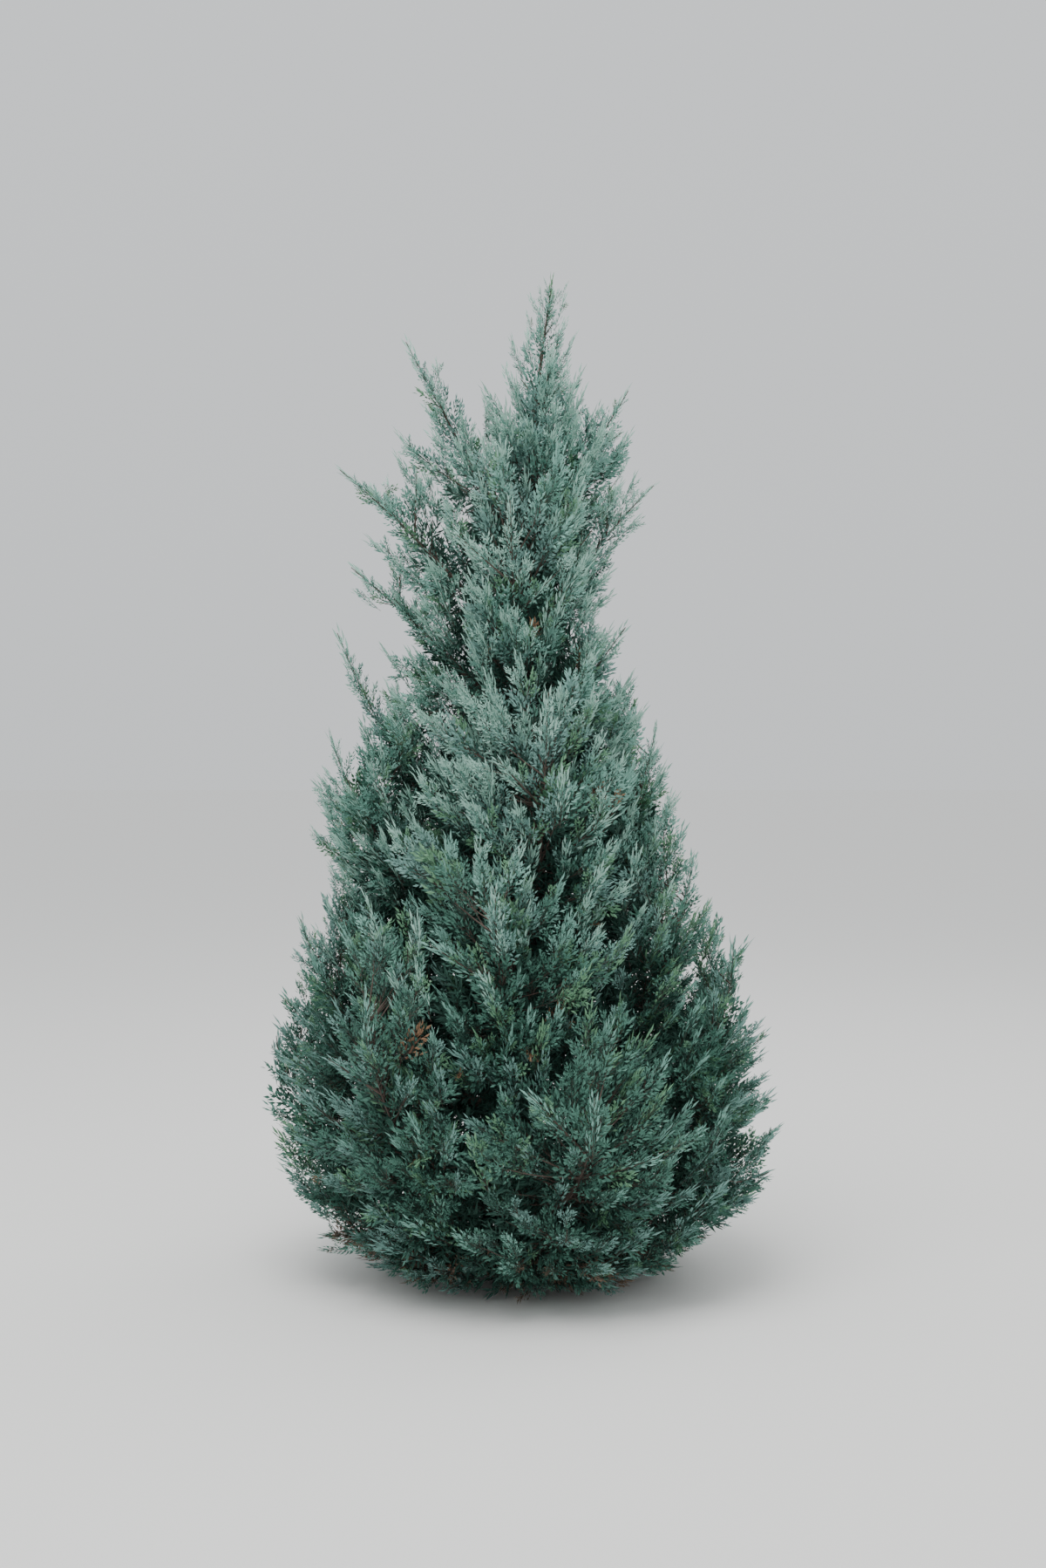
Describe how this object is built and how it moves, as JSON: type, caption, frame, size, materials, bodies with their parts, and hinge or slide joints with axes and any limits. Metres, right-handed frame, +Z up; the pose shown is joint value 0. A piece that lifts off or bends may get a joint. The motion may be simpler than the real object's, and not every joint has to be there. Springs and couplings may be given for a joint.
{
  "type": "upright blue juniper tree",
  "caption": "Upright blue juniper, rooted in the ground: one leader that leans at the top, ascending boughs and dense feathery blue-green foliage down to the ground",
  "frame": {"origin": "middle of the flat cut under the trunk, at ground level", "axes": "+Z up along the trunk, -Y towards the viewer of the picture, +X to the viewer's right"},
  "size_m": [1.3547, 1.3171, 2.616],
  "materials": {
    "bark": "rough, stringy, reddish brown bark weathered grey-brown near the ground",
    "foliage": "matt, waxy blue-green scale leaves, paler at the tips"
  },
  "bodies": {
    "root": {"trunk": "bark", "bough_coleader": "bark", "bough_low_1": "bark", "bough_low_2": "bark", "bough_low_3": "bark", "bough_low_4": "bark", "bough_low_5": "bark", "bough_low_6": "bark", "bough_middle_1": "bark", "bough_middle_2": "bark", "bough_middle_3": "bark", "bough_middle_4": "bark", "bough_middle_5": "bark", "bough_shoulder_1": "bark", "bough_shoulder_2": "bark", "bough_shoulder_3": "bark", "bough_shoulder_4": "bark", "bough_shoulder_left": "bark", "bough_skirt_1": "bark", "bough_skirt_2": "bark", "bough_skirt_3": "bark", "bough_skirt_4": "bark", "bough_skirt_5": "bark", "bough_upper_front": "bark", "bough_upper_left": "bark", "bough_upper_right": "bark", "bough_waist_left": "bark", "foliage_coleader": "foliage", "foliage_leader_back": "foliage", "foliage_leader_front": "foliage", "foliage_leader_right": "foliage", "foliage_leader_tip": "foliage", "foliage_low_1": "foliage", "foliage_low_2": "foliage", "foliage_low_3": "foliage", "foliage_low_4": "foliage", "foliage_low_5": "foliage", "foliage_low_6": "foliage", "foliage_middle_1": "foliage", "foliage_middle_2": "foliage", "foliage_middle_3": "foliage", "foliage_middle_4": "foliage", "foliage_middle_5": "foliage", "foliage_shoulder_1": "foliage", "foliage_shoulder_2": "foliage", "foliage_shoulder_3": "foliage", "foliage_shoulder_4": "foliage", "foliage_shoulder_left": "foliage", "foliage_skirt_1": "foliage", "foliage_skirt_2": "foliage", "foliage_skirt_3": "foliage", "foliage_skirt_4": "foliage", "foliage_skirt_5": "foliage", "foliage_upper_back": "foliage", "foliage_upper_front": "foliage", "foliage_upper_left": "foliage", "foliage_upper_right": "foliage", "foliage_waist_left": "foliage", "foliage_waist_right": "foliage"}
  },
  "joints": []
}
